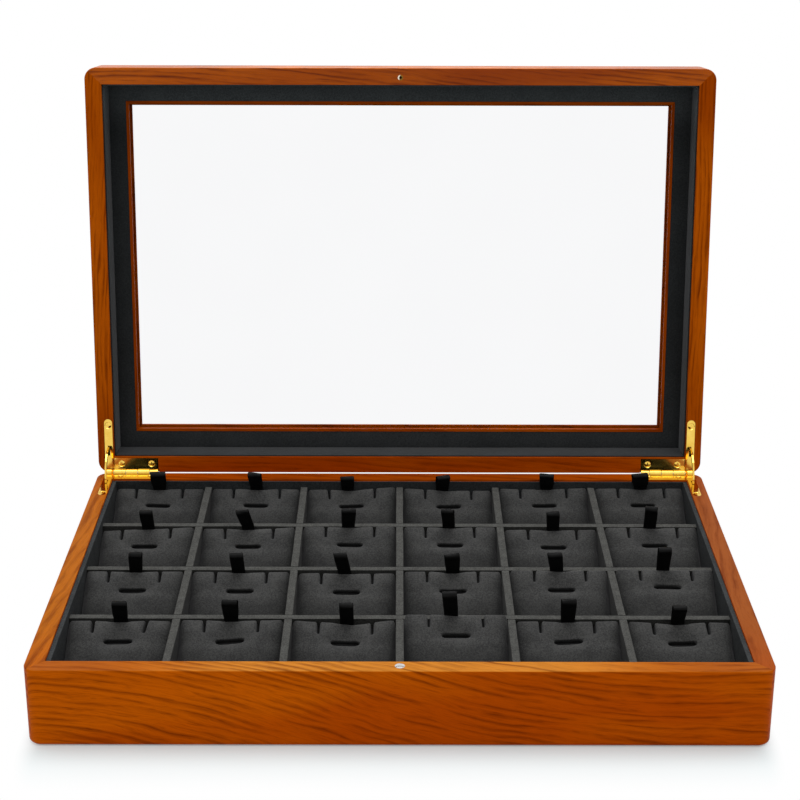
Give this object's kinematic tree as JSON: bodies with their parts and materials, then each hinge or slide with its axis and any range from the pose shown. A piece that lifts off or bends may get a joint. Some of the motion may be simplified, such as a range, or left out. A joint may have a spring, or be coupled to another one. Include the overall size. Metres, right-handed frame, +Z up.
{
  "type": "ring display box",
  "caption": "Hinged wooden jewellery display box with a glazed lid, a fabric-lined grid of cells and loose sloped pads with ring slots and ribbon pulls.",
  "frame": {"origin": "middle of the underside of the base, where it rests", "axes": "+X across the box to its right seen from the front, +Y from the front to the hinges at the back, +Z up"},
  "size_m": [0.35, 0.2891, 0.2702],
  "materials": {
    "stained_wood": "orange-brown stained ash, satin lacquer",
    "panel_board": "thin plywood panel",
    "felt": "black felt",
    "lining_cloth": "charcoal microfibre on board",
    "divider_cloth": "charcoal microfibre on board, lighter nap",
    "pad_cloth": "charcoal microfibre over firm foam",
    "window_glass": "clear flat glass",
    "polished_brass": "polished brass",
    "pin_steel": "drawn steel",
    "magnet_nickel": "polished nickel plate"
  },
  "bodies": {
    "base": {"front_rail": "stained_wood", "rear_rail": "stained_wood", "left_rail": "stained_wood", "right_rail": "stained_wood", "bottom_panel": "panel_board", "underside_felt": "felt", "floor_lining": "lining_cloth", "base_wall_linings": "lining_cloth", "cross_divider_1": "divider_cloth", "cross_divider_2": "divider_cloth", "cross_divider_3": "divider_cloth", "cross_divider_4": "divider_cloth", "cross_divider_5": "divider_cloth", "long_divider_1": "divider_cloth", "long_divider_2": "divider_cloth", "long_divider_3": "divider_cloth", "left_base_leaf": "polished_brass", "right_base_leaf": "polished_brass", "hinge_pins": "pin_steel", "base_screws": "polished_brass", "catch_magnet": "magnet_nickel"},
    "lid": {"lid_front_rail": "stained_wood", "lid_rear_rail": "stained_wood", "lid_left_rail": "stained_wood", "lid_right_rail": "stained_wood", "lid_top_frame": "stained_wood", "window_glass": "window_glass", "glass_bead": "stained_wood", "lid_wall_linings": "lining_cloth", "lid_border_lining": "lining_cloth", "left_lid_leaf": "polished_brass", "right_lid_leaf": "polished_brass", "lid_screws": "polished_brass", "strike_screw": "polished_brass"},
    "left_stay_bar": {"left_stay": "polished_brass"},
    "right_stay_bar": {"right_stay": "polished_brass"},
    "pad_r1c1_body": {"pad_r1c1": "pad_cloth"},
    "pad_r1c2_body": {"pad_r1c2": "pad_cloth"},
    "pad_r1c3_body": {"pad_r1c3": "pad_cloth"},
    "pad_r1c4_body": {"pad_r1c4": "pad_cloth"},
    "pad_r1c5_body": {"pad_r1c5": "pad_cloth"},
    "pad_r1c6_body": {"pad_r1c6": "pad_cloth"},
    "pad_r2c1_body": {"pad_r2c1": "pad_cloth"},
    "pad_r2c2_body": {"pad_r2c2": "pad_cloth"},
    "pad_r2c3_body": {"pad_r2c3": "pad_cloth"},
    "pad_r2c4_body": {"pad_r2c4": "pad_cloth"},
    "pad_r2c5_body": {"pad_r2c5": "pad_cloth"},
    "pad_r2c6_body": {"pad_r2c6": "pad_cloth"},
    "pad_r3c1_body": {"pad_r3c1": "pad_cloth"},
    "pad_r3c2_body": {"pad_r3c2": "pad_cloth"},
    "pad_r3c3_body": {"pad_r3c3": "pad_cloth"},
    "pad_r3c4_body": {"pad_r3c4": "pad_cloth"},
    "pad_r3c5_body": {"pad_r3c5": "pad_cloth"},
    "pad_r3c6_body": {"pad_r3c6": "pad_cloth"},
    "pad_r4c1_body": {"pad_r4c1": "pad_cloth"},
    "pad_r4c2_body": {"pad_r4c2": "pad_cloth"},
    "pad_r4c3_body": {"pad_r4c3": "pad_cloth"},
    "pad_r4c4_body": {"pad_r4c4": "pad_cloth"},
    "pad_r4c5_body": {"pad_r4c5": "pad_cloth"},
    "pad_r4c6_body": {"pad_r4c6": "pad_cloth"}
  },
  "joints": [
    {"name": "lid_hinge", "type": "hinge", "parent": "base", "child": "lid", "pos_m": [0, 0.1161, 0.0402], "axis": [-1, 0, 0], "range_deg": [-97.5, 0]},
    {"name": "left_stay_slide", "type": "hinge", "parent": "base", "child": "left_stay_bar", "pos_m": [0, 0.1161, 0.0402], "axis": [-1, 0, 0], "range_deg": [-48.75, 0]},
    {"name": "right_stay_slide", "type": "hinge", "parent": "base", "child": "right_stay_bar", "pos_m": [0, 0.1161, 0.0402], "axis": [-1, 0, 0], "range_deg": [-48.75, 0]},
    {"name": "pad_r1c1_lift", "type": "slide", "parent": "base", "child": "pad_r1c1_body", "axis": [0, 0, 1], "range_m": [0, 0.04]},
    {"name": "pad_r1c2_lift", "type": "slide", "parent": "base", "child": "pad_r1c2_body", "axis": [0, 0, 1], "range_m": [0, 0.04]},
    {"name": "pad_r1c3_lift", "type": "slide", "parent": "base", "child": "pad_r1c3_body", "axis": [0, 0, 1], "range_m": [0, 0.04]},
    {"name": "pad_r1c4_lift", "type": "slide", "parent": "base", "child": "pad_r1c4_body", "axis": [0, 0, 1], "range_m": [0, 0.04]},
    {"name": "pad_r1c5_lift", "type": "slide", "parent": "base", "child": "pad_r1c5_body", "axis": [0, 0, 1], "range_m": [0, 0.04]},
    {"name": "pad_r1c6_lift", "type": "slide", "parent": "base", "child": "pad_r1c6_body", "axis": [0, 0, 1], "range_m": [0, 0.04]},
    {"name": "pad_r2c1_lift", "type": "slide", "parent": "base", "child": "pad_r2c1_body", "axis": [0, 0, 1], "range_m": [0, 0.04]},
    {"name": "pad_r2c2_lift", "type": "slide", "parent": "base", "child": "pad_r2c2_body", "axis": [0, 0, 1], "range_m": [0, 0.04]},
    {"name": "pad_r2c3_lift", "type": "slide", "parent": "base", "child": "pad_r2c3_body", "axis": [0, 0, 1], "range_m": [0, 0.04]},
    {"name": "pad_r2c4_lift", "type": "slide", "parent": "base", "child": "pad_r2c4_body", "axis": [0, 0, 1], "range_m": [0, 0.04]},
    {"name": "pad_r2c5_lift", "type": "slide", "parent": "base", "child": "pad_r2c5_body", "axis": [0, 0, 1], "range_m": [0, 0.04]},
    {"name": "pad_r2c6_lift", "type": "slide", "parent": "base", "child": "pad_r2c6_body", "axis": [0, 0, 1], "range_m": [0, 0.04]},
    {"name": "pad_r3c1_lift", "type": "slide", "parent": "base", "child": "pad_r3c1_body", "axis": [0, 0, 1], "range_m": [0, 0.04]},
    {"name": "pad_r3c2_lift", "type": "slide", "parent": "base", "child": "pad_r3c2_body", "axis": [0, 0, 1], "range_m": [0, 0.04]},
    {"name": "pad_r3c3_lift", "type": "slide", "parent": "base", "child": "pad_r3c3_body", "axis": [0, 0, 1], "range_m": [0, 0.04]},
    {"name": "pad_r3c4_lift", "type": "slide", "parent": "base", "child": "pad_r3c4_body", "axis": [0, 0, 1], "range_m": [0, 0.04]},
    {"name": "pad_r3c5_lift", "type": "slide", "parent": "base", "child": "pad_r3c5_body", "axis": [0, 0, 1], "range_m": [0, 0.04]},
    {"name": "pad_r3c6_lift", "type": "slide", "parent": "base", "child": "pad_r3c6_body", "axis": [0, 0, 1], "range_m": [0, 0.04]},
    {"name": "pad_r4c1_lift", "type": "slide", "parent": "base", "child": "pad_r4c1_body", "axis": [0, 0, 1], "range_m": [0, 0.04]},
    {"name": "pad_r4c2_lift", "type": "slide", "parent": "base", "child": "pad_r4c2_body", "axis": [0, 0, 1], "range_m": [0, 0.04]},
    {"name": "pad_r4c3_lift", "type": "slide", "parent": "base", "child": "pad_r4c3_body", "axis": [0, 0, 1], "range_m": [0, 0.04]},
    {"name": "pad_r4c4_lift", "type": "slide", "parent": "base", "child": "pad_r4c4_body", "axis": [0, 0, 1], "range_m": [0, 0.04]},
    {"name": "pad_r4c5_lift", "type": "slide", "parent": "base", "child": "pad_r4c5_body", "axis": [0, 0, 1], "range_m": [0, 0.04]},
    {"name": "pad_r4c6_lift", "type": "slide", "parent": "base", "child": "pad_r4c6_body", "axis": [0, 0, 1], "range_m": [0, 0.04]}
  ],
  "couplings": [
    {"joint": "left_stay_slide", "follows": "lid_hinge", "ratio": 0.5},
    {"joint": "right_stay_slide", "follows": "lid_hinge", "ratio": 0.5}
  ]
}
